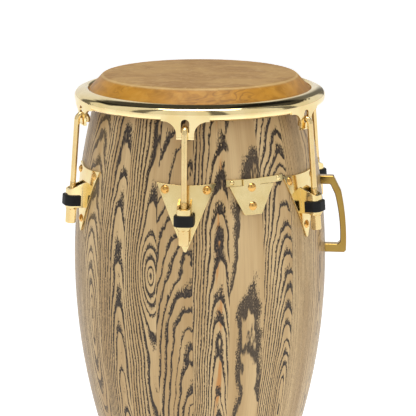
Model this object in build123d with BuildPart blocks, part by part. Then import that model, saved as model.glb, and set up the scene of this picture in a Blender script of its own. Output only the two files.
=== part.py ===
"""A stave-built conga drum with a rawhide head, a rolled counterhoop and six hook rods.

Millimetres, +Z up, origin on the drum's axis at the floor. Bearings are degrees about +Z, counted
from -Y (the front) towards +X. Hardware is drawn in the X-Z plane, where X is the distance out
from the axis, and is then turned to its bearing. A drop is measured down from the playing surface.
"""

import os
from math import atan2, cos, degrees, radians, sin, sqrt

from build123d import *

os.makedirs("parts", exist_ok=True)

# Shell: heights, radii of its outside, and its wall
drum_height = 762.0  # floor to playing surface
belly_drop = 304.0
waist_height = 200.0  # where the belly's curve turns into the foot's
bearing_radius = 149.2  # an 11 3/4 in head
belly_radius = 196.5
foot_radius = 127.0
lower_curve = 1019.0  # radius of the side between belly and waist
shell_wall = 11.0  # measured level
bearing_round = 12.7  # of the wood, under the head
foot_round = 3.0
stave_count = 23
hole_reach = 3.0  # degrees past a seam that a hole can cut
first_seam = -3.2

# Head: a dried skin over a steel ring
skin = 2.5
shoulder_round = 6.0  # inside of its bend over the edge
collar_slope = 47.0  # degrees below level
collar_length = 32.0  # from the shoulder to the ring
hoop_wire = 8.0
clear = 0.3  # between pieces that move apart

# Counterhoop: a rolled strip with six slotted ears
rim_sheet = 3.5
rim_grip = 28.4  # how far down the collar its lip bears
rim_lip_slant = 80.0  # degrees above level where its section starts
rim_lip_roll = (2.2, 88.0)  # radius at the strip's middle and degrees turned, as in the next three
rim_crown = (36.0, 19.0)
rim_outer_roll = (8.5, 63.0)
rim_lower_roll = (5.0, 80.0)
rim_wall = 2.0  # upright stretch at its widest
ear_overlap = 1.0  # of an ear and the strip
ear_below_hook = 7.5
ear_foot = 25.0  # width below the flare
ear_flare = 68.0  # width where it leaves the strip
ear_flare_round = 18.5
slot_width = 12.0
slot_above_hook = 12.9
lip_bead = 4.2

# Hook rods and their nuts
lug_count = 6
first_lug = -6.2
rod = 8.5
hook_bend = 8.0  # radius of the hook, at the rod's centre
hook_tip = 3.5
hook_tip_round = 2.2
hook_play = 1.2  # hook to the ear's bar
hook_drop = 57.0
thread_major = 9.4
thread_core = 8.0
thread_pitch = 1.5875  # 3/8-16
thread_turns = 36
rod_engaged = 16.5  # thread inside the nut
nut_across_flats = 14.3
nut_length = 22.0
nut_chamfer = 1.2
nut_corner_trim = 0.2
nut_end_trim = 0.3
thread_play = 0.1
nut_washer = 17.5
nut_washer_thickness = 2.4
rod_play = 0.6

# Side plates: formed sheet with a loop that carries the rod
plate_sheet = 3.0
plate_drop = 129.0  # to its upper corners
plate_dip = 2.8
plate_width = 84.0
plate_height = 101.0
plate_tip_round = 2.5
seat_drop = 187.5  # to the loop's underside
seat_standoff = 19.6  # rod's centre out from the shell there
loop_width = 19.6
loop_wall = 3.0
loop_round = 6.0
loop_reach = 8.8  # rod's centre to the loop's front
loop_front = 26.5  # height of its front
loop_back = 38.0  # height of its sides where they leave the plate
loop_blend = 2.0
loop_floor = 3.5
bumper_rubber = 4.4
bumper_height = 15.6
bumper_rise = 3.0  # loop's underside to the bumper's
bumper_depth = 22.5
bumper_round = 1.4

# Dome bolts through the wall, with a washer and a nut inside
bolt_head = 12.5
bolt_head_height = 3.4
bolt_shank = 6.0
bolt_play = 0.6
backing_washer = 16.0
backing_washer_thickness = 1.2
backing_nut = 10.0  # across flats
backing_nut_length = 5.0
backing_thread = 0.05  # nut's bore over the shank
bolt_tail = 1.5  # shank past the nut
corner_bolt_drop = 9.5  # below the plate's upper corners
corner_bolt_spread = 29.5  # each side of the lug
tip_bolt_rise = 23.0  # above the tip

# Stand plate and the strap behind it
stand_bearing = 22.9
stand_drop = 134.5  # to its upper corners
stand_width = 68.5
stand_foot_width = 26.5
stand_height = 42.0
stand_tab_width = 25.0
stand_tab_height = 9.0
stand_bolt_spacing = 26.5
stand_bolt_drop = 3.0  # upper corners to the upper bolt
stand_boss = 18.0
strap_sheet = 3.0
strap_height = 9.0
strap_reach = (11.3, 17.3)  # degrees to each side of the stand plate's middle
strap_screw_inset = 2.6
strap_screw_head = 7.0
strap_screw_head_height = 2.2
strap_screw_shank = 4.0
strap_screw_length = 11.0

# Handle: a rigid D of rectangular bar, held by two screws from inside
handle_bearing = 83.7
handle_drop = 155.0
handle_span = 121.0
handle_arm = 13.0
handle_width = 13.0
handle_bar = 9.5
handle_corner = 21.0  # arm's length before the chamfered corner
handle_shoulder = 33.0  # reach where the chamfer meets the bow
handle_shoulder_drop = 23.0
handle_bow = 39.5  # furthest reach
handle_bow_drop = 58.0
handle_foot_reach = 32.0
handle_toe = 3.0  # cut of its outer lower corner
handle_toe_inside = 4.0
handle_edge = 1.0
handle_corner_round = 2.5
handle_screw_depth = 13.0


def run_arc(run, rise):
    """Radius of the arc that starts upright and goes sideways by run over rise."""
    return (rise**2 + run**2) / (2 * run)


bearing_height = drum_height - skin
edge_height = bearing_height - clear
belly_height = drum_height - belly_drop
upper_curve = run_arc(belly_radius - bearing_radius, bearing_height - belly_height)
waist_back = sqrt(lower_curve**2 - (belly_height - waist_height) ** 2)
waist_radius = belly_radius - lower_curve + waist_back
waist_tilt = atan2(belly_height - waist_height, waist_back)
foot_turn = waist_tilt - atan2(waist_radius - foot_radius, waist_height)
foot_curve = sqrt((waist_radius - foot_radius) ** 2 + waist_height**2) / (2 * sin(foot_turn))
foot_centre_radius = waist_radius + foot_curve * cos(waist_tilt)
foot_centre_height = waist_height - foot_curve * sin(waist_tilt)


def shell_radius(height):
    """The shell's outside: two arcs that meet at the belly and a reversed one at the foot."""
    if height >= belly_height:
        return belly_radius - upper_curve + sqrt(upper_curve**2 - (height - belly_height) ** 2)
    if height >= waist_height:
        return belly_radius - lower_curve + sqrt(lower_curve**2 - (height - belly_height) ** 2)
    return foot_centre_radius - sqrt(foot_curve**2 - (height - foot_centre_height) ** 2)


def shell_tilt(height):
    """How far the shell's outward normal points up at a height, in radians."""
    step = 0.01
    return atan2(shell_radius(height - step) - shell_radius(height + step), 2 * step)


def side_arcs(low, high, outward=0.0):
    """The shell's outside from low to high, moved outward, as arcs from the bottom up."""
    ends = [low] + [z for z in (waist_height, belly_height) if low < z < high] + [high]
    for start, end in zip(ends, ends[1:]):
        middle = (start + end) / 2
        ThreePointArc(*[(shell_radius(z) + outward, z) for z in (start, middle, end)])


def side_band(low, high, inward, outward, turn):
    """A sheet that follows the shell between two heights, turned evenly about +X."""
    with BuildPart() as band:
        with BuildSketch(Plane.XZ):
            with BuildLine():
                side_arcs(low, high, outward)
                side_arcs(low, high, -inward)
                for height in (low, high):
                    radius = shell_radius(height)
                    Line((radius - inward, height), (radius + outward, height))
            make_face()
        revolve(axis=Axis.Z, revolution_arc=turn)
    return band.part.rotate(Axis.Z, -turn / 2)


def at_bearing(piece, bearing):
    """Turns a piece drawn over +X to its bearing."""
    return piece.rotate(Axis.Z, bearing - 90)


def wall_plane(bearing, height, lift=0.0):
    """A plane whose normal points straight out of the wall, at a distance from its outside."""
    tilt, turn, radius = shell_tilt(height), radians(bearing), shell_radius(height)
    out = Vector(sin(turn) * cos(tilt), -cos(turn) * cos(tilt), sin(tilt))
    origin = Vector(radius * sin(turn), -radius * cos(turn), height) + out * lift
    return Plane(origin=origin, x_dir=(cos(turn), sin(turn), 0), z_dir=out)


def raised(plane, across=0.0, up=0.0, lift=0.0):
    """The same plane, moved within itself and along its normal."""
    return Plane(plane.from_local_coords((across, up, lift)), plane.x_dir, plane.z_dir)


def flipped(plane):
    return Plane(plane.origin, plane.x_dir, -plane.z_dir)


def save(piece, name):
    piece.label = name
    export_step(piece, f"parts/{name}.step")


def save_group(pieces, name):
    save(Compound(children=pieces), name)


def placed(piece, planes):
    """A copy of a piece drawn on the XY plane for each plane."""
    return [piece.moved(plane.location) for plane in planes]


# ------------------------------------------------------------ where things sit
lugs = [first_lug + lug * 360 / lug_count for lug in range(lug_count)]
plate_top = drum_height - plate_drop
plate_tip = plate_top - plate_height
corner_bolt_height = plate_top - corner_bolt_drop
corner_bolt_turn = degrees(corner_bolt_spread / shell_radius(corner_bolt_height))
plate_bolt_places = [
    (lug + turn, height)
    for lug in lugs
    for turn, height in (
        (-corner_bolt_turn, corner_bolt_height),
        (corner_bolt_turn, corner_bolt_height),
        (0, plate_tip + tip_bolt_rise),
    )
]

stand_top = drum_height - stand_drop
stand_bolt_top = stand_top - stand_bolt_drop
stand_lift = strap_sheet + clear
stand_plane = wall_plane(stand_bearing, stand_bolt_top - stand_bolt_spacing / 2, stand_lift)
stand_bolts = [raised(stand_plane, up=side * stand_bolt_spacing / 2) for side in (-1, 1)]
strap_middle = stand_top + stand_tab_height - strap_height / 2
strap_start, strap_end = stand_bearing - strap_reach[0], stand_bearing + strap_reach[1]
strap_screws = [
    wall_plane(bearing, strap_middle, strap_sheet)
    for bearing in (strap_start + strap_screw_inset, strap_end - strap_screw_inset)
]

handle_top = drum_height - handle_drop
handle_low = handle_top - handle_span
handle_screw_places = [
    (handle_bearing, handle_top - handle_arm / 2),
    (handle_bearing, handle_low + handle_arm / 2),
]

bolt_holes = [wall_plane(*place) for place in plate_bolt_places + handle_screw_places] + stand_bolts

# ------------------------------------------------------------ shell staves
stave_turn = 360 / stave_count

with BuildPart() as stave_blank:
    with BuildSketch(Plane.XZ) as stave_section:
        with BuildLine():
            side_arcs(0, edge_height)
            side_arcs(0, edge_height, -shell_wall)
            for height in (0, edge_height):
                radius = shell_radius(height)
                Line((radius, height), (radius - shell_wall, height))
        make_face()
        corners = stave_section.vertices().group_by(Axis.Y)
        fillet(corners[-1].sort_by(Axis.X)[-1], bearing_round)
        fillet(corners[0], foot_round)
    revolve(axis=Axis.Z, revolution_arc=stave_turn)


def near(planes, bearing, within):
    """The planes that face within some degrees of a bearing."""
    ahead = Vector(sin(radians(bearing)), -cos(radians(bearing)), 0)
    return [
        plane
        for plane in planes
        if Vector(plane.origin.X, plane.origin.Y, 0).get_angle(ahead) < within
    ]


def drill(planes, radius, depth):
    for plane in planes:
        with Locations(plane):
            Cylinder(radius, depth, mode=Mode.SUBTRACT)


for number in range(stave_count):
    seam = first_seam + number * stave_turn
    with BuildPart() as stave:
        add(at_bearing(stave_blank.part, seam))
        facing = (seam + stave_turn / 2, stave_turn / 2 + hole_reach)
        drill(near(bolt_holes, *facing), (bolt_shank + bolt_play) / 2, 5 * shell_wall)
        drill(near(strap_screws, *facing), strap_screw_shank / 2, 2 * strap_screw_length + clear)
    save(stave.part, f"stave_{number + 1:02d}")

# ------------------------------------------------------------ head
slope = radians(collar_slope)
down_collar = Vector(cos(slope), -sin(slope))
off_collar = Vector(sin(slope), cos(slope))
shoulder_centre = Vector(bearing_radius - shoulder_round, bearing_height - shoulder_round)
shoulder_end = shoulder_centre + off_collar * shoulder_round

with BuildPart() as head_membrane:
    with BuildSketch(Plane.XZ):
        with BuildLine():
            edge = shoulder_centre.X
            Polyline((edge, bearing_height), (0, bearing_height), (0, drum_height), (edge, drum_height))
            for radius in (shoulder_round, shoulder_round + skin):
                CenterArc(shoulder_centre, radius, 90, -collar_slope)
            Line(shoulder_end, shoulder_end + off_collar * skin)
        make_face()
    revolve(axis=Axis.Z)
save(head_membrane.part, "head_membrane")

with BuildPart() as head_collar:
    with BuildSketch(Plane.XZ):
        with BuildLine():
            along, across = down_collar * collar_length, off_collar * skin
            start = shoulder_end
            Polyline(start, start + across, start + across + along, start + along, close=True)
        make_face()
    revolve(axis=Axis.Z)
save(head_collar.part, "head_collar")

with BuildPart() as flesh_hoop:
    with BuildSketch(Plane.XZ):
        with Locations(shoulder_end + along - off_collar * (hoop_wire / 2 + clear)):
            Circle(hoop_wire / 2)
    revolve(axis=Axis.Z)
save(flesh_hoop.part, "flesh_hoop")

# ------------------------------------------------------------ counterhoop
rim_lip = shoulder_end + down_collar * rim_grip + off_collar * (skin + clear + rim_sheet / 2)


def rolled(start, direction, bend):
    """One bend of the strip, as its middle line."""
    radius, turned = bend
    return JernArc(start, direction, radius, -turned)


with BuildPart() as rim_band:
    with BuildSketch(Plane.XZ) as rim_section:
        with BuildLine():
            lip = rolled(rim_lip, Vector(1, 0).rotate(Axis.Z, rim_lip_slant), rim_lip_roll)
            crown = rolled(lip @ 1, lip % 1, rim_crown)
            outer_roll = rolled(crown @ 1, crown % 1, rim_outer_roll)
            outside = Line(outer_roll @ 1, (outer_roll @ 1) + (outer_roll % 1) * rim_wall)
            rolled(outside @ 1, outside % 1, rim_lower_roll)
            offset(amount=rim_sheet / 2, side=Side.BOTH)
        make_face()
    revolve(axis=Axis.Z)

ear_radius = (outside @ 1).X
wall_foot = (outside @ 1).Y
rim_foot = rim_section.vertices().sort_by(Axis.Y)[0].Y

# The rod leans out from the hook to its seat below. In rod_plane X is away from the drum and Y is up
# the rod; in rod_foot the normal is up the rod. Both start where the hook's bend does.
hook_height = drum_height - hook_drop
seat_height = drum_height - seat_drop
hook_radius = ear_radius + hook_bend
seat_radius = shell_radius(seat_height) + seat_standoff
lean = atan2(seat_radius - hook_radius, hook_height - seat_height)
seat = (seat_height - hook_height) / cos(lean)
outward = Vector(cos(lean), 0, sin(lean))
hook_start = Vector(hook_radius, 0, hook_height)
rod_plane = Plane(hook_start, outward, (0, -1, 0))
rod_foot = Plane(hook_start, outward, rod_plane.y_dir)

hook_centre = hook_height - hook_bend * sin(lean)
ear_bottom = hook_centre - ear_below_hook
ear_turn = 2 * degrees(ear_flare / ear_radius)
bead_turn = degrees(ear_foot / ear_radius)

with BuildPart() as ear_strip:
    with BuildSketch(Plane.XZ):
        with Locations((ear_radius, (wall_foot + ear_bottom) / 2)):
            Rectangle(rim_sheet, wall_foot - ear_bottom)
    revolve(axis=Axis.Z, revolution_arc=ear_turn)

with BuildPart() as ear:
    add(ear_strip.part.rotate(Axis.Z, -ear_turn / 2))
    with BuildSketch(Plane.YZ):
        with BuildLine():
            half, high = ear_flare / 2, wall_foot + ear_overlap
            spring = (ear_foot / 2 + ear_flare_round, rim_foot)
            Polyline((0, high), (half, high), (half, rim_foot), spring)
            flare = JernArc(spring, (-1, 0), ear_flare_round, 90)
            Polyline(flare @ 1, (ear_foot / 2, ear_bottom), (0, ear_bottom))
            mirror(about=Plane.YZ)
        make_face()
    extrude(amount=2 * ear_radius, mode=Mode.INTERSECT)

with BuildPart() as ear_bead:
    with BuildSketch(Plane.XZ):
        with Locations((ear_radius, ear_bottom + lip_bead / 2)):
            Circle(lip_bead / 2)
    revolve(axis=Axis.Z, revolution_arc=bead_turn)

with BuildPart() as ear_slot:
    with BuildSketch(Plane.YZ.offset(ear_radius - hook_bend)):
        slot_bottom = hook_centre + hook_bend - rod / 2 - hook_play
        arch = hook_centre + hook_bend + slot_above_hook - slot_width / 2
        with Locations((0, (slot_bottom + arch) / 2)):
            Rectangle(slot_width, arch - slot_bottom)
        with Locations((0, arch)):
            Circle(slot_width / 2)
    extrude(amount=2 * hook_bend)

with BuildPart() as rim:
    add(rim_band.part)
    for lug in lugs:
        add(at_bearing(ear.part, lug))
        add(at_bearing(ear_bead.part, lug - bead_turn / 2))
    for lug in lugs:
        add(at_bearing(ear_slot.part, lug), mode=Mode.SUBTRACT)
save(rim.part, "rim")

# ------------------------------------------------------------ hook rods, nuts and washers
nut_top = seat - nut_washer_thickness
rod_end = nut_top - rod_engaged
thread_radius, core_radius = thread_major / 2, thread_core / 2
thread_top = rod_end + thread_turns * thread_pitch

with BuildPart() as tension_rod:
    with BuildLine(rod_plane) as hook_path:
        shank = Line((0, thread_top), (0, 0))
        bend = JernArc((0, 0), (0, 1), hook_bend, 180)
        Line(bend @ 1, (bend @ 1) - (bend % 0) * hook_tip)
    with BuildSketch(Plane(shank @ 0, z_dir=shank % 0)):
        Circle(rod / 2)
    sweep(path=hook_path.line)
    tip_face = tension_rod.faces().filter_by(GeomType.PLANE).sort_by(Axis.X)[0]
    fillet(tip_face.edges(), hook_tip_round)
    with BuildSketch(rod_plane) as thread_section:
        with BuildLine():
            crests = [rod_end + turn * thread_pitch for turn in range(1, thread_turns)]
            ridges = [
                point
                for crest in crests
                for point in (
                    (core_radius, crest - thread_pitch / 2),
                    (thread_radius, crest - thread_pitch / 8),
                    (thread_radius, crest + thread_pitch / 8),
                )
            ]
            Polyline((0, rod_end), *ridges, (core_radius, thread_top), (0, thread_top), close=True)
        make_face()
    revolve(axis=Axis(hook_start, rod_plane.y_dir))

with BuildPart() as tuning_nut:
    with BuildSketch(rod_foot.offset(nut_top - nut_length)):
        RegularPolygon(nut_across_flats / 2, 6, major_radius=False)
    extrude(amount=nut_length)
    with BuildSketch(rod_plane):
        with BuildLine():
            high, low = nut_top, nut_top - nut_length
            wide = nut_across_flats / 2 / cos(radians(30)) - nut_corner_trim
            narrow = nut_across_flats / 2 - nut_end_trim
            right = [(narrow, low), (wide, low + nut_chamfer), (wide, high - nut_chamfer), (narrow, high)]
            Polyline((0, low), *right, (0, high), close=True)
        make_face()
    revolve(axis=Axis(hook_start, rod_plane.y_dir), mode=Mode.INTERSECT)
    with BuildSketch(rod_foot.offset(nut_top - nut_length)):
        Circle(thread_radius + thread_play)
    extrude(amount=nut_length, mode=Mode.SUBTRACT)

with BuildPart() as washer:
    with BuildSketch(rod_foot.offset(nut_top)):
        Circle(nut_washer / 2)
        Circle(thread_radius + rod_play, mode=Mode.SUBTRACT)
    extrude(amount=nut_washer_thickness)

for number, lug in enumerate(lugs, start=1):
    save(at_bearing(tension_rod.part, lug), f"tension_rod_{number}")
    save(at_bearing(tuning_nut.part, lug), f"tuning_nut_{number}")
save_group([at_bearing(washer.part, lug) for lug in lugs], "nut_washers")

# ------------------------------------------------------------ side plates and bumpers
with BuildPart() as drum_core:
    with BuildSketch(Plane.XZ):
        with BuildLine():
            low, high = plate_tip - plate_height, plate_top + plate_height / 2
            side_arcs(low, high)
            Polyline((shell_radius(low), low), (0, low), (0, high), (shell_radius(high), high))
        make_face()
    revolve(axis=Axis.Z)


def loop_outline(grow):
    """The loop seen along the rod, open towards the drum."""
    back, front = -2 * seat_standoff, loop_reach + grow
    with Locations(((front + back) / 2, 0)):
        outline = Rectangle(front - back, loop_width + 2 * grow)
    fillet(outline.vertices().group_by(Axis.X)[-1], loop_round + grow)


with BuildPart() as loop:
    with BuildSketch(rod_plane):
        with BuildLine():
            back = -2 * seat_standoff
            plate_face = plate_sheet - seat_standoff
            slant = (loop_back - loop_front) / (loop_reach - plate_face)
            Polyline(
                (back, seat),
                (loop_reach, seat),
                (loop_reach, seat + loop_front),
                (back, seat + loop_front + slant * (loop_reach - back)),
                close=True,
            )
        make_face()
    extrude(amount=loop_width / 2, both=True)
    with BuildSketch(rod_foot.offset(seat)):
        loop_outline(0)
    extrude(amount=3 * loop_back, mode=Mode.INTERSECT)
    with BuildSketch(rod_foot.offset(seat + loop_floor)):
        loop_outline(-loop_wall)
    extrude(amount=3 * loop_back, mode=Mode.SUBTRACT)
    with BuildSketch(rod_foot.offset(seat)):
        Circle(thread_radius + rod_play)
    extrude(amount=loop_floor, mode=Mode.SUBTRACT)
    add(drum_core.part, mode=Mode.SUBTRACT)

plate_turn = 2 * degrees(plate_width / shell_radius(plate_top))
with BuildPart() as side_plate:
    add(side_band(plate_tip - plate_sheet, plate_top + plate_sheet, 0, plate_sheet, plate_turn))
    with BuildSketch(Plane.YZ) as outline:
        with BuildLine():
            left, right = (-plate_width / 2, plate_top), (plate_width / 2, plate_top)
            ThreePointArc(left, (0, plate_top - plate_dip), right)
            Polyline(left, (0, plate_tip), right)
        make_face()
        fillet(outline.vertices().sort_by(Axis.Y)[0], plate_tip_round)
    extrude(amount=2 * belly_radius, mode=Mode.INTERSECT)
    add(loop.part)
    corner_bolts = [wall_plane(90 + side * corner_bolt_turn, corner_bolt_height) for side in (-1, 1)]
    plate_bolts = corner_bolts + [wall_plane(90, plate_tip + tip_bolt_rise)]
    drill(plate_bolts, (bolt_shank + bolt_play) / 2, 4 * plate_sheet)

with BuildPart() as bumper_core:
    with BuildSketch(rod_foot.offset(seat)):
        loop_outline(0)
    extrude(amount=loop_front)

with BuildPart() as bumper:
    with BuildSketch(rod_foot.offset(seat + bumper_rise)):
        loop_outline(bumper_rubber)
    extrude(amount=bumper_height)
    ends = bumper.faces().sort_by(Axis(hook_start, rod_plane.y_dir))
    fillet(ends[0].edges() + ends[-1].edges(), bumper_round)
    add(bumper_core.part, mode=Mode.SUBTRACT)
    split(bisect_by=Plane(hook_start + outward * (loop_reach + bumper_rubber - bumper_depth), z_dir=outward))

for number, lug in enumerate(lugs, start=1):
    save(at_bearing(side_plate.part, lug), f"side_plate_{number}")
    save(at_bearing(bumper.part, lug), f"bumper_{number}")

# ------------------------------------------------------------ dome bolts, their washers and nuts


def dome(width, height):
    """A domed head standing on the XY plane."""
    with BuildPart() as head:
        with BuildSketch(Plane.XZ):
            with BuildLine():
                radius = run_arc(height, width / 2)
                middle = width / 4
                rise = height - radius + sqrt(radius**2 - middle**2)
                ThreePointArc((width / 2, 0), (middle, rise), (0, height))
                Polyline((width / 2, 0), (0, 0), (0, height))
            make_face()
        revolve(axis=Axis.Z)
    return head.part


def dome_bolt(grip):
    """A dome bolt standing on the XY plane, for the thickness it holds together."""
    with BuildPart() as bolt:
        add(dome(bolt_head, bolt_head_height))
        length = grip + backing_washer_thickness + backing_nut_length + bolt_tail
        Cylinder(bolt_shank / 2, length, align=(Align.CENTER, Align.CENTER, Align.MAX))
    return bolt.part


def wall_grip(height):
    """Outside of the wall to a washer that seats on its hollow inside."""
    inside = shell_radius(height) - shell_wall
    return (shell_wall + (backing_washer / 2) ** 2 / (2 * inside)) * cos(shell_tilt(height)) + clear / 2


def backing(grip, piece):
    """Where a washer or nut goes behind a bolt, as a part drawn for that bolt."""
    with BuildPart() as part:
        if piece == "washer":
            with BuildSketch(Plane.XY.offset(-grip)):
                Circle(backing_washer / 2)
                Circle(bolt_shank / 2 + backing_thread, mode=Mode.SUBTRACT)
            extrude(amount=-backing_washer_thickness)
        else:
            with BuildSketch(Plane.XY.offset(-grip - backing_washer_thickness)):
                RegularPolygon(backing_nut / 2, 6, major_radius=False)
                Circle(bolt_shank / 2 + backing_thread, mode=Mode.SUBTRACT)
            extrude(amount=-backing_nut_length)
    return part.part


bolts, washers, nuts = [], [], []
bolted = [
    (wall_plane(*place, plate_sheet), plate_sheet + wall_grip(place[1])) for place in plate_bolt_places
]
bolted += [
    (raised(plane, lift=plate_sheet), plate_sheet + stand_lift + wall_grip(plane.origin.Z) + clear)
    for plane in stand_bolts
]
for plane, grip in bolted:
    bolts += placed(dome_bolt(grip), [plane])
    washers += placed(backing(grip, "washer"), [plane])
    nuts += placed(backing(grip, "nut"), [plane])
save_group(bolts, "dome_bolts")
save_group(nuts, "backing_nuts")

# ------------------------------------------------------------ stand plate, strap and its screws
strap_low, strap_high = strap_middle - strap_height / 2, strap_middle + strap_height / 2


def strap_band(spare, outward):
    """The strap's band along the wall, with room to spare above and below."""
    band = side_band(strap_low - spare, strap_high + spare, 0, outward, strap_end - strap_start)
    return at_bearing(band, (strap_start + strap_end) / 2)


with BuildPart() as stand_plate:
    with BuildSketch(stand_plane) as stand_outline:
        with BuildLine():
            wide, narrow, tab = stand_width / 2, stand_foot_width / 2, stand_tab_width / 2
            top = stand_bolt_spacing / 2 + stand_bolt_drop
            low, high = top - stand_height, top + stand_tab_height
            half = Polyline((0, high), (tab, high), (tab, top), (wide, top), (narrow, low), (0, low))
            mirror(about=Plane.YZ)
        make_face()
    extrude(amount=plate_sheet)
    with BuildSketch(*stand_bolts):
        Circle(stand_boss / 2)
    extrude(amount=-2 * stand_lift)
    add(at_bearing(drum_core.part, stand_bearing), mode=Mode.SUBTRACT)
    add(strap_band(clear, stand_lift), mode=Mode.SUBTRACT)
    drill(stand_bolts, (bolt_shank + bolt_play) / 2, 8 * plate_sheet)
save(stand_plate.part, "stand_plate")

with BuildPart() as stand_strap:
    add(strap_band(0, strap_sheet))
    drill(strap_screws, strap_screw_shank / 2, 2 * strap_sheet + clear)
save(stand_strap.part, "stand_strap")

with BuildPart() as strap_screw:
    add(dome(strap_screw_head, strap_screw_head_height))
    Cylinder(strap_screw_shank / 2, strap_screw_length, align=(Align.CENTER, Align.CENTER, Align.MAX))
save_group(placed(strap_screw.part, strap_screws), "strap_screws")

# ------------------------------------------------------------ handle
with BuildPart() as handle:
    with BuildSketch(Plane.XZ) as side_view:
        with BuildLine():
            start = shell_radius(handle_top)
            foot = shell_radius(handle_low)
            back = min(start, foot) - shell_wall
            corner = (start + handle_corner, handle_top)
            shoulder = (start + handle_shoulder, handle_top - handle_shoulder_drop)
            bow = (start + handle_bow, handle_top - handle_bow_drop)
            end = (foot + handle_foot_reach, handle_low + handle_toe)
            Polyline((back, handle_top), corner, shoulder)
            ThreePointArc(shoulder, bow, end)
            Polyline(end, (end[0] - handle_toe, handle_low), (back, handle_low), (back, handle_top))
        make_face()
        with BuildLine():
            high, low = handle_top - handle_arm, handle_low + handle_arm
            corner = (corner[0] - handle_bar / 2, high)
            shoulder = (shoulder[0] - handle_bar, shoulder[1] - handle_bar / 2)
            bow = (bow[0] - handle_bar, bow[1])
            end = (end[0] - handle_bar, low + handle_toe_inside)
            Polyline((back, high), corner, shoulder)
            ThreePointArc(shoulder, bow, end)
            Polyline(end, (end[0] - handle_toe_inside, low), (back, low), (back, high))
        make_face(mode=Mode.SUBTRACT)
        fillet(side_view.vertices().sort_by(Axis.X)[4:], handle_corner_round)
    extrude(amount=handle_width / 2, both=True)
    sides = handle.faces().sort_by(Axis.Y)
    chamfer(sides[0].edges() + sides[-1].edges(), handle_edge)
    add(drum_core.part, mode=Mode.SUBTRACT)
    places = [wall_plane(90, height) for _, height in handle_screw_places]
    drill(places, bolt_shank / 2, 2 * handle_screw_depth)
save(at_bearing(handle.part, handle_bearing), "handle")

screws = []
for bearing, height in handle_screw_places:
    grip = wall_grip(height)
    inside = wall_plane(bearing, height, -grip - backing_washer_thickness)
    with BuildPart() as handle_screw:
        add(dome(bolt_head, bolt_head_height))
        length = grip + backing_washer_thickness + handle_screw_depth - clear
        Cylinder(bolt_shank / 2, length, align=(Align.CENTER, Align.CENTER, Align.MAX))
    screws += placed(handle_screw.part, [flipped(inside)])
    washers += placed(backing(grip, "washer"), [wall_plane(bearing, height)])
save_group(screws, "handle_screws")
save_group(washers, "backing_washers")
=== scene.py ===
"""The conga drum's looks: lacquered ash staves, gold-plated hardware, rubber and a dried hide head.

Metres, +Z up, the drum's axis at the origin and its front towards -Y. Bearings are degrees about +Z,
counted from -Y towards +X.
"""

import random
from dataclasses import dataclass
from functools import partial
from math import cos, pi, radians, sin

import bpy
from mathutils import Euler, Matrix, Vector


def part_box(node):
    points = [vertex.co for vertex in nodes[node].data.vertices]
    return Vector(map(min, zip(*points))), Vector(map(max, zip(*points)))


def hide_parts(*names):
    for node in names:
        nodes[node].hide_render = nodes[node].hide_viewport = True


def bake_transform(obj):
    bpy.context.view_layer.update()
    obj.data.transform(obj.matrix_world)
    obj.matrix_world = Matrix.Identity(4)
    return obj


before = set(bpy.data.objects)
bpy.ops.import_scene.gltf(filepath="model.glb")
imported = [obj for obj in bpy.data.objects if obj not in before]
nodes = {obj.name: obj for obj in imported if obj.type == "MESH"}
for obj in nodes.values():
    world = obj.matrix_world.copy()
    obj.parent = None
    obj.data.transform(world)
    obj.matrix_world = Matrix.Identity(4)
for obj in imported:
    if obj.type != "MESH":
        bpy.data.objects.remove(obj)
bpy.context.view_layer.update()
MM = 0.001

# ------------------------------------------------------------ shared tools

SMOOTH = {"interpolation_type": "SMOOTHSTEP"}
COLOURS = {"data_type": "RGBA"}


def hex_colour(code):
    """An sRGB hex value as the linear colour that Blender's sockets take."""
    channels = [int(code[i : i + 2], 16) / 255 for i in (0, 2, 4)]
    linear = [c / 12.92 if c <= 0.04045 else ((c + 0.055) / 1.055) ** 2.4 for c in channels]
    return (*linear, 1.0)


def add_node(tree, kind, *values, **named):
    """Adds a shader node and gives its first output.

    Values go to its inputs in their order. A name with a capital, such as Base_Color, is also an
    input, and any other name is a setting. A value that is another node's output is linked.
    """
    made = tree.nodes.new("ShaderNode" + kind)
    for name, value in named.items():
        if name[0].islower():
            setattr(made, name, value)
    filled = list(zip([socket for socket in made.inputs if socket.enabled], values))
    filled += [(made.inputs[name.replace("_", " ")], named[name]) for name in named if name[0].isupper()]
    for socket, value in filled:
        if isinstance(value, bpy.types.NodeSocket):
            tree.links.new(value, socket)
        else:
            socket.default_value = value
    return next((socket for socket in made.outputs if socket.enabled), None)


def new_material(name):
    """An empty material, and what adds its nodes."""
    material = bpy.data.materials.new(name)
    material.use_nodes = True
    material.node_tree.nodes.clear()
    return material, partial(add_node, material.node_tree)


def surface_of(add, **finish):
    """Ends a material with its finish."""
    add("OutputMaterial", Surface=add("BsdfPrincipled", **finish))


def in_patches(add, sizes_mm, shift=(0, 0, 0)):
    """The surface's own coordinates, counted in patches of so many mm along X, Y and Z."""
    place = add("TexCoord").node.outputs["Object"]
    return add("Mapping", Vector=place, Scale=[1 / (size * MM) for size in sizes_mm], Location=shift)


def finish_with(names, material):
    for name in names:
        piece = nodes[name]
        piece.data.materials.clear()
        piece.data.materials.append(material)


# ------------------------------------------------------------ lacquered ash

STAVES = 23
FIRST_SEAM = -3.2  # bearing of stave 1's first edge
PITCH = 360 / STAVES
DEPTH_TAKEN_AT = 450  # mm above the floor
BOARDS_APART = 7.3  # steps in noise, so that no two boards are alike
LAYERS_APART = 3.1  # and no two patterns on a board
RUSTY_STAVE = 1  # has a streak of rusty heartwood


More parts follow.
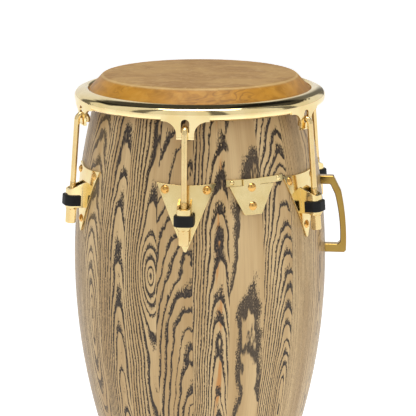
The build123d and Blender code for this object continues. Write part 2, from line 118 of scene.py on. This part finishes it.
@dataclass
class Board:
    """A board as it was sawn."""

    centre: float  # mm across the stave from its middle to the line that the arches centre on
    depth: float  # mm from its face in to the tree's heart
    rise: float  # mm that this depth grows per mm up the board
    ring: float  # mm between rings
    waver: float  # mm that the rings wander
    band: float  # share of a ring that is dark
    dark: float  # how dark its filled pores are
    tan: float  # how brown its pale wood is
    seed: float  # number that its noise starts from
    deepest: float = 0.0  # mm at which the depth levels out, if it does


FRONT_BOARDS = {
    1: Board(centre=12, depth=20, rise=0.065, ring=3.1, waver=5, band=0.38, dark=1.0, tan=0.5, seed=3),
    2: Board(centre=9, depth=60, rise=0.050, ring=11.5, waver=9, band=0.14, dark=0.95, tan=0.3, seed=8),
    3: Board(centre=17, depth=24, rise=0.130, ring=3.5, waver=6, band=0.36, dark=1.0, tan=0.3, seed=12),
    4: Board(centre=-64, depth=20, rise=0.010, ring=2.8, waver=4, band=0.30, dark=0.7, tan=0.6, seed=17),
    5: Board(centre=4, depth=12, rise=0.110, ring=5.0, waver=12, band=0.34, dark=0.6, tan=0.4, seed=20),
    19: Board(centre=-26, depth=26, rise=0.050, ring=3.0, waver=5, band=0.40, dark=0.8, tan=0.5, seed=26),
    20: Board(centre=7, depth=8, rise=0.150, ring=4.4, waver=9, band=0.38, dark=0.85, tan=0.45, seed=31),
    21: Board(centre=15, depth=19, rise=0.056, ring=3.2, waver=5, band=0.40, dark=1.0, tan=0.5, seed=36),
    22: Board(
        centre=20,
        depth=-14,
        rise=0.300,
        ring=3.9,
        waver=4,
        band=0.40,
        dark=1.0,
        tan=0.35,
        seed=41,
        deepest=24,
    ),
    23: Board(centre=26, depth=40, rise=0.230, ring=7.6, waver=14, band=0.26, dark=1.0, tan=0.4, seed=46),
}


def board_of(number):
    """How a stave's board was sawn; those round the back are drawn by chance, the same each time."""
    if number in FRONT_BOARDS:
        return FRONT_BOARDS[number]
    chance = random.Random(number)
    return Board(
        centre=chance.uniform(-20, 20),
        depth=chance.uniform(18, 40),
        rise=chance.choice((-1, 1)) * chance.uniform(0.03, 0.12),
        ring=chance.uniform(3.2, 5.5),
        waver=chance.uniform(6, 14),
        band=chance.uniform(0.3, 0.4),
        dark=chance.uniform(0.8, 1.0),
        tan=chance.uniform(0.3, 0.6),
        seed=chance.uniform(50, 150),
    )


def lacquered_ash(number):
    """Flat-sawn ash, its open pores filled black, under gloss lacquer.

    A board cuts the tree's rings at a shallow slant, so they show as nested arches with close
    straight lines beside them. Each ring starts with a sharp dark line of filled pores, which
    breaks up into short dashes towards the pale late wood. Real pores are 0.3 mm wide, which is
    too fine to show, so they are drawn 1 to 1.3 mm wide.
    """
    board = board_of(number)
    facing = radians(FIRST_SEAM + (number - 0.5) * PITCH)
    material, add = new_material(f"lacquered_ash_{number:02d}")
    place = add("TexCoord").node.outputs["Object"]

    def along(direction):
        """How many mm along a direction the surface lies."""
        return add("VectorMath", place, [c / MM for c in direction], operation="DOT_PRODUCT")

    across = along((cos(facing), sin(facing), 0))
    up = along((0, 0, 1))

    def noise(across_mm, up_mm, layer, detail=2.0, rough=0.5):
        """Noise about zero, with patches so many mm across and up the board."""
        spot = add(
            "CombineXYZ",
            add("Math", across, across_mm, operation="DIVIDE"),
            add("Math", up, up_mm, operation="DIVIDE"),
            board.seed * BOARDS_APART + layer * LAYERS_APART,
        )
        cloud = add("TexNoise", Vector=spot, Scale=1.0, Detail=detail, Roughness=rough)
        return add("Math", cloud, 0.5, operation="SUBTRACT")

    # Depth of the heart below the face, so that its changes draw the arches
    depth_at_floor = board.depth - DEPTH_TAKEN_AT * board.rise
    depth = add("Math", up, board.rise, depth_at_floor, operation="MULTIPLY_ADD")
    if board.deepest:
        share = add("Math", depth, board.deepest, operation="DIVIDE")
        levelled = add("Math", share, operation="TANH")
        depth = add("Math", levelled, board.deepest, operation="MULTIPLY")
    depth = add("Math", noise(90, 130, 1), 2.4 * board.waver, depth, operation="MULTIPLY_ADD")
    depth = add("Math", noise(17, 34, 2, 3), 0.62 * board.waver, depth, operation="MULTIPLY_ADD")
    from_centre = add("Math", across, board.centre, operation="SUBTRACT")
    side = add("Math", noise(60, 170, 3), 14.0, from_centre, operation="MULTIPLY_ADD")
    side_squared = add("Math", side, side, operation="MULTIPLY")
    depth_squared = add("Math", depth, depth, operation="MULTIPLY")
    squared = add("Math", side_squared, depth_squared, operation="ADD")
    radius = add("Math", squared, operation="SQRT")
    rings = add("Math", radius, board.ring, operation="DIVIDE")
    rings = add("Math", noise(4, 26, 4, 3), 0.30, rings, operation="MULTIPLY_ADD")
    phase = add("Math", rings, operation="FRACT")

    # Rings differ in how much dark wood they hold
    year = add("TexWhiteNoise", add("Math", rings, operation="FLOOR"), noise_dimensions="1D")
    width = add("Math", year, 0.38, board.band, operation="MULTIPLY_ADD")
    edge = add("MapRange", phase, 0.0, 0.07, **SMOOTH)
    fade = add("Math", 1.0, add("Math", phase, width, operation="DIVIDE"), operation="SUBTRACT")
    fade = add("Math", add("Math", fade, 0.0, operation="MAXIMUM"), 0.7, operation="POWER")
    pores = noise(1.0, 12, 5, 2, 0.6)
    specks = noise(1.3, 3.2, 6, 1, 0.6)
    filled = add("Math", fade, 1.35, operation="MULTIPLY")
    filled = add("Math", pores, 1.5, filled, operation="MULTIPLY_ADD")
    filled = add("Math", specks, 1.6, filled, operation="MULTIPLY_ADD")
    early = add("Math", add("MapRange", filled, 0.34, 0.78, **SMOOTH), edge, operation="MULTIPLY")
    early = add("Math", early, add("MapRange", fade, 0.0, 0.12, **SMOOTH), operation="MULTIPLY")
    dark = add("Math", early, board.dark, operation="MULTIPLY")

    warmth = add("MapRange", noise(26, 320, 7, 3), -0.22, 0.22, **SMOOTH)
    pale = add("Mix", warmth, hex_colour("C8AC7F"), hex_colour("AE8F62"), **COLOURS)
    fibres = add("MapRange", noise(1.6, 70, 8, 2), -0.1, 0.35, **SMOOTH)
    browned = add("Math", fibres, board.tan, operation="MULTIPLY")
    pale = add("Mix", browned, pale, hex_colour("947A56"), **COLOURS)
    if number == RUSTY_STAVE:
        core = add("MapRange", add("Math", from_centre, operation="ABSOLUTE"), 7.0, 2.0, **SMOOTH)
        stretches = add("MapRange", noise(9, 70, 9, 2), -0.02, 0.12, **SMOOTH)
        streak = add("Math", core, stretches, operation="MULTIPLY")
        rust = add("Math", streak, 0.8, operation="MULTIPLY")
        pale = add("Mix", rust, pale, hex_colour("B67838"), **COLOURS)
    speckled = add("MapRange", specks, -0.15, 0.2, **SMOOTH)
    ink = add("Mix", speckled, hex_colour("4A3F35"), hex_colour("28221C"), **COLOURS)
    sunk = add("Math", dark, -1.0, operation="MULTIPLY")
    surface_of(
        add,
        Base_Color=add("Mix", dark, pale, ink, **COLOURS),
        Roughness=add("MapRange", dark, 0, 1, 0.5, 0.6, **SMOOTH),
        Normal=add("Bump", Strength=0.25, Distance=0.2 * MM, Height=sunk),
        Specular_IOR_Level=0.1,
        Coat_Weight=0.28,
        Coat_Roughness=0.05,
    )
    return material


for number in range(1, STAVES + 1):
    finish_with([f"stave_{number:02d}"], lacquered_ash(number))


# ------------------------------------------------------------ metals and rubber


def gold_plate(name, colour, roughness, edge_mm=0.5):
    """Gold-plated steel, buffed after pressing: bright, with faint polishing streaks and soft edges.

    A buffing wheel's lines are under 0.1 mm wide, too fine to show, so the streaks are drawn 6 mm
    wide. The plating's colour drifts over about 30 mm.
    """
    material, add = new_material(name)
    streaks = add("TexNoise", Vector=in_patches(add, (6.25, 6.25, 25)), Scale=1.0, Detail=3.0)
    cloud = add("TexNoise", Vector=in_patches(add, (33.33, 33.33, 33.33)), Scale=1.0, Detail=2.0)
    tint = add("MapRange", cloud, 0.3, 0.7, **SMOOTH)
    deeper = tuple(c * f for c, f in zip(colour, (0.93, 0.88, 0.78))) + (1.0,)
    buffing = 0.03
    surface_of(
        add,
        Base_Color=add("Mix", tint, colour, deeper, **COLOURS),
        Metallic=1.0,
        Roughness=add("MapRange", streaks, 0.3, 0.7, roughness - buffing, roughness + buffing, **SMOOTH),
        Normal=add("Bevel", Radius=edge_mm * MM, samples=4),
    )
    return material


def moulded_rubber():
    """Black natural rubber, moulded: dull, with a fine pebble that only shows at grazing light.

    A mould's pebble is about 0.2 mm, too fine to show, so it is drawn at 1.1 mm.
    """
    material, add = new_material("moulded_rubber")
    pebble = add("TexNoise", Vector=in_patches(add, (1.111, 1.111, 1.111)), Scale=1.0)
    soft_edge = add("Bevel", Radius=0.8 * MM, samples=4)
    surface_of(
        add,
        Base_Color=hex_colour("0D0D0D"),
        Roughness=0.55,
        Specular_IOR_Level=0.25,
        Normal=add("Bump", Strength=0.3, Distance=0.2 * MM, Height=pebble, Normal=soft_edge),
    )
    return material


def zinc_steel():
    """Zinc-plated steel as it comes from the box: grey, and cloudy over about 8 mm."""
    material, add = new_material("zinc_steel")
    cloud = add("TexNoise", Vector=in_patches(add, (8.333, 8.333, 8.333)), Scale=1.0)
    rough = add("MapRange", cloud, 0.3, 0.7, 0.3, 0.45, **SMOOTH)
    surface_of(add, Base_Color=hex_colour("B4B2AA"), Metallic=1.0, Roughness=rough)
    return material


LUGS = range(1, 7)
pressed_gold = gold_plate("gold_plate_pressed", hex_colour("F2DDA4"), 0.14)
rim_gold = gold_plate("gold_plate_rolled", hex_colour("F4E0AA"), 0.09)
rod_gold = gold_plate("gold_plate_turned", hex_colour("EFD59C"), 0.20, edge_mm=0.3)
dome_gold = gold_plate("gold_plate_domed", hex_colour("DDAE64"), 0.16, edge_mm=0.3)
handle_gold = gold_plate("gold_plate_antiqued", hex_colour("A08446"), 0.18)

finish_with(["rim"], rim_gold)
finish_with([f"side_plate_{i}" for i in LUGS] + ["stand_plate", "stand_strap", "strap_screws"], pressed_gold)
finish_with([f"{piece}_{i}" for piece in ("tension_rod", "tuning_nut") for i in LUGS], rod_gold)
finish_with(["nut_washers"], rod_gold)
finish_with(["dome_bolts"], dome_gold)
finish_with(["handle"], handle_gold)
finish_with([f"bumper_{i}" for i in LUGS], moulded_rubber())
finish_with(["flesh_hoop", "backing_washers", "backing_nuts", "handle_screws"], zinc_steel())

# ------------------------------------------------------------ hide head

HEAD_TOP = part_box("head_membrane")[1][2]
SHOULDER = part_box("head_membrane")[1][0]
HOOP_LOW, HOOP_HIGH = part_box("flesh_hoop")
SKIN = 2.5 * MM
SHOULDER_ROUND = 6 * MM  # inside of the hide's bend over the edge
COLLAR_SLOPE = radians(47)  # below level
HOOP_WRAP = radians(200)  # turn of the hide round the hoop
HOOP_GAP = 0.35 * MM  # from the hoop's wire to the hide
FLAT_ROWS, BEND_ROWS, COLLAR_ROWS, WRAP_ROWS = 24, 8, 14, 16


def hide_profile():
    """The hide's outside then its inside, from the middle out, over the edge and round the hoop."""
    wire = (HOOP_HIGH[2] - HOOP_LOW[2]) / 2
    hoop = Vector((HOOP_HIGH[0] - wire, (HOOP_HIGH[2] + HOOP_LOW[2]) / 2))
    down = Vector((cos(COLLAR_SLOPE), -sin(COLLAR_SLOPE)))
    bend_inset = (SHOULDER_ROUND + SKIN) * sin(COLLAR_SLOPE)
    bend_centre = Vector((SHOULDER - bend_inset, HEAD_TOP - SKIN - SHOULDER_ROUND))

    def turned(angle):
        return Vector((sin(angle), cos(angle)))

    def face(lift):
        """The face that lies so far outside the hide's inner one."""
        level = bend_centre.y + SHOULDER_ROUND + lift
        flat = [Vector((bend_centre.x * i / FLAT_ROWS, level)) for i in range(FLAT_ROWS + 1)]
        bend = [
            bend_centre + turned(COLLAR_SLOPE * i / BEND_ROWS) * (SHOULDER_ROUND + lift)
            for i in range(1, BEND_ROWS + 1)
        ]
        run = (hoop - bend[-1]).dot(down)
        collar = [bend[-1] + down * run * i / COLLAR_ROWS for i in range(1, COLLAR_ROWS)]
        wrap = [
            hoop + turned(COLLAR_SLOPE + HOOP_WRAP * i / WRAP_ROWS) * (wire + HOOP_GAP + lift)
            for i in range(1, WRAP_ROWS + 1)
        ]
        return flat + bend + collar + wrap

    return face(SKIN), face(0.0)


def lathe(name, outside, inside, around):
    """A closed skin turned about the drum's axis from two faces of equal length."""
    rows = outside[1:] + inside[:0:-1]
    verts = [(0, 0, outside[0].y), (0, 0, inside[0].y)]
    for point in rows:
        for i in range(around):
            angle = 2 * pi * i / around
            verts.append((point.x * sin(angle), -point.x * cos(angle), point.y))
    faces = []
    for i in range(around):
        j = (i + 1) % around
        faces.append((0, 2 + i, 2 + j))
        last = 2 + (len(rows) - 1) * around
        faces.append((1, last + j, last + i))
        for row in range(len(rows) - 1):
            a = 2 + row * around
            faces.append((a + i, a + around + i, a + around + j, a + j))
    mesh = bpy.data.meshes.new(name)
    mesh.from_pydata(verts, [], faces)
    mesh.validate()
    mesh.polygons.foreach_set("use_smooth", [True] * len(mesh.polygons))
    piece = bpy.data.objects.new(name, mesh)
    bpy.context.scene.collection.objects.link(piece)
    return piece


def dried_hide():
    """Buffalo rawhide, shaved and dried hard: scuffed matte where hands play, amber and smoother on
    the collar, where its marbling shows."""
    material, add = new_material("dried_hide")
    place = add("TexCoord").node.outputs["Object"]
    height = add("SeparateXYZ", place).node.outputs["Z"]
    below = add("Math", HEAD_TOP, height, operation="SUBTRACT")

    def cloud(sizes_mm, detail, shift=(0, 0, 0), bend=0.0):
        spot = in_patches(add, sizes_mm, shift)
        return add("TexNoise", Vector=spot, Scale=1.0, Detail=detail, Distortion=bend)

    blotch = add("MapRange", cloud((62.5, 50, 50), 6, bend=0.6), 0.35, 0.65, **SMOOTH)
    mottle = cloud((16.67, 11.11, 16.67), 4, (3, 1, 2), 0.8)
    scuff = cloud((11.11, 3.846, 11.11), 5, (7, 7, 7), 1.5)
    marble = add("MapRange", cloud((50, 50, 16.67), 4, (1, 5, 2), 1.0), 0.35, 0.65, **SMOOTH)
    top = add("Mix", blotch, hex_colour("B08A50"), hex_colour("9C743E"), **COLOURS)
    mottled = add("MapRange", mottle, 0.45, 0.75, 0, 0.5, **SMOOTH)
    top = add("Mix", mottled, top, hex_colour("C39E66"), **COLOURS)
    scuffed = add("MapRange", scuff, 0.55, 0.72, 0, 0.4, **SMOOTH)
    top = add("Mix", scuffed, top, hex_colour("D8BE92"), **COLOURS)

    # Veins are contour lines of a slow noise, in patches
    contours = add("Math", cloud((90.91, 90.91, 29.41), 3, (1, 5, 2), 0.6), 70.0, operation="MULTIPLY")
    veins = add("MapRange", add("Math", contours, operation="SINE"), 0.2, 0.95, 0, 0.65, **SMOOTH)
    veined = add("MapRange", cloud((62.5, 62.5, 33.33), 2, (4, 4, 9)), 0.46, 0.60, **SMOOTH)
    amber = add("Mix", marble, hex_colour("B8822A"), hex_colour("9E6C1E"), **COLOURS)
    dark_veins = add("Math", veins, veined, operation="MULTIPLY")
    amber = add("Mix", dark_veins, amber, hex_colour("84591C"), **COLOURS)
    lighter = add("MapRange", mottle, 0.5, 0.7, 0, 0.35, **SMOOTH)
    amber = add("Mix", lighter, amber, hex_colour("C4943E"), **COLOURS)

    # A pale band along the shoulder's edge is a painted highlight
    collar = add("MapRange", height, HEAD_TOP - 0.5 * MM, HEAD_TOP - 5 * MM, **SMOOTH)
    shoulder_highlight_from = add("MapRange", below, 0.2 * MM, 1 * MM, **SMOOTH)
    shoulder_highlight_to = add("MapRange", below, 3.4 * MM, 1.8 * MM, **SMOOTH)
    painted_shoulder_highlight = add("Math", shoulder_highlight_from, shoulder_highlight_to, operation="MULTIPLY")
    painted_shoulder_highlight = add("Math", painted_shoulder_highlight, 0.35, operation="MULTIPLY")
    colour = add("Mix", collar, top, amber, **COLOURS)
    relief = add("Math", add("Math", scuff, 0.5, operation="MULTIPLY"), mottle, operation="ADD")
    surface_of(
        add,
        # The pale DCC08A band mixed in here is the painted highlight along the shoulder's edge
        Base_Color=add("Mix", painted_shoulder_highlight, colour, hex_colour("DCC08A"), **COLOURS),
        Roughness=add("MapRange", collar, 0, 1, 0.6, 0.4, **SMOOTH),
        Specular_IOR_Level=0.3,
        Normal=add("Bump", Strength=0.35, Distance=0.6 * MM, Height=relief),
    )
    return material


hide = lathe("hide_head", *hide_profile(), around=180)
hide.data.materials.append(dried_hide())
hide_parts("head_membrane", "head_collar")
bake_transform(hide)

# ------------------------------------------------------------ studio


def studio_floor():
    """A wide sweep of matte white paper, lit from behind."""
    bpy.ops.mesh.primitive_plane_add(size=60, location=(0, 0, 0))
    floor = bpy.context.object
    floor.name = "studio_floor"
    material, add = new_material("paper_sweep")
    surface_of(
        add,
        Base_Color=hex_colour("F7F7F7"),
        Roughness=0.9,
        Emission_Color=hex_colour("FFFFFF"),
        Emission_Strength=0.55,
    )
    floor.data.materials.append(material)


def softbox(name, place, target, size, watts, mirrored=False):
    """A rectangular soft light aimed at a point; polished metal shows only the mirrored one."""
    light = bpy.data.lights.new(name, "AREA")
    light.shape = "RECTANGLE"
    light.size, light.size_y = size
    light.energy = watts
    lamp = bpy.data.objects.new(name, light)
    lamp.location = place
    lamp.rotation_euler = (Vector(target) - Vector(place)).to_track_quat("-Z", "Y").to_euler()
    lamp.visible_glossy = mirrored
    bpy.context.scene.collection.objects.link(lamp)


def studio_sky(strength):
    """White walls with dark gaps between them, under a ceiling that is dark at the back: what
    polished metal needs to see."""
    gap_count = 5.0
    gap_turn = 3.05
    gap_level = 0.2
    ceiling_darkening = -0.93
    world = bpy.data.worlds.new("studio_walls")
    world.use_nodes = True
    add = partial(add_node, world.node_tree)
    direction = add("SeparateXYZ", add("TexCoord").node.outputs["Generated"]).node.outputs
    turn = add("Math", direction["X"], direction["Y"], operation="ARCTAN2")
    gaps = add("Math", turn, gap_count, gap_turn, operation="MULTIPLY_ADD")
    walls = add("MapRange", add("Math", gaps, operation="SINE"), -0.9, -0.65, gap_level, 1.0, **SMOOTH)
    behind = add("MapRange", direction["Y"], 0.10, 0.20, **SMOOTH)
    high = add("MapRange", direction["Z"], 0.50, 0.58, **SMOOTH)
    dark = add("Math", behind, high, operation="MULTIPLY")
    ceiling = add("Math", dark, ceiling_darkening, 1.0, operation="MULTIPLY_ADD")
    level = add("Math", add("Math", walls, ceiling, operation="MULTIPLY"), strength, operation="MULTIPLY")
    background = world.node_tree.nodes["Background"]
    background.inputs["Color"].default_value = hex_colour("FFFFFF")
    world.node_tree.links.new(level, background.inputs["Strength"])
    bpy.context.scene.world = world


def long_lens(place, tilt, pan, focal_mm):
    """The camera, tilted down from level and panned by degrees."""
    data = bpy.data.cameras.new("camera")
    data.sensor_width = 36
    data.lens = focal_mm
    camera = bpy.data.objects.new("camera", data)
    camera.location = place
    camera.rotation_euler = Euler((radians(90 - tilt), 0, radians(pan)))
    bpy.context.scene.collection.objects.link(camera)
    bpy.context.scene.camera = camera


bpy.context.scene.view_settings.view_transform = "Standard"
studio_floor()
studio_sky(0.85)
drum_middle = (0, 0, 0.55)
head_middle = (0, 0, 0.76)
softbox("key_softbox", (-1.1, -2.1, 2.2), drum_middle, (1.0, 1.0), 8)
softbox("fill_softbox", (2.0, -1.6, 1.0), drum_middle, (0.7, 1.6), 7)
softbox("top_softbox", (0, -0.35, 2.6), head_middle, (1.5, 0.7), 20, mirrored=True)
long_lens((0, -1.9018, 1.0505), tilt=14.764, pan=-0.377, focal_mm=109.1)
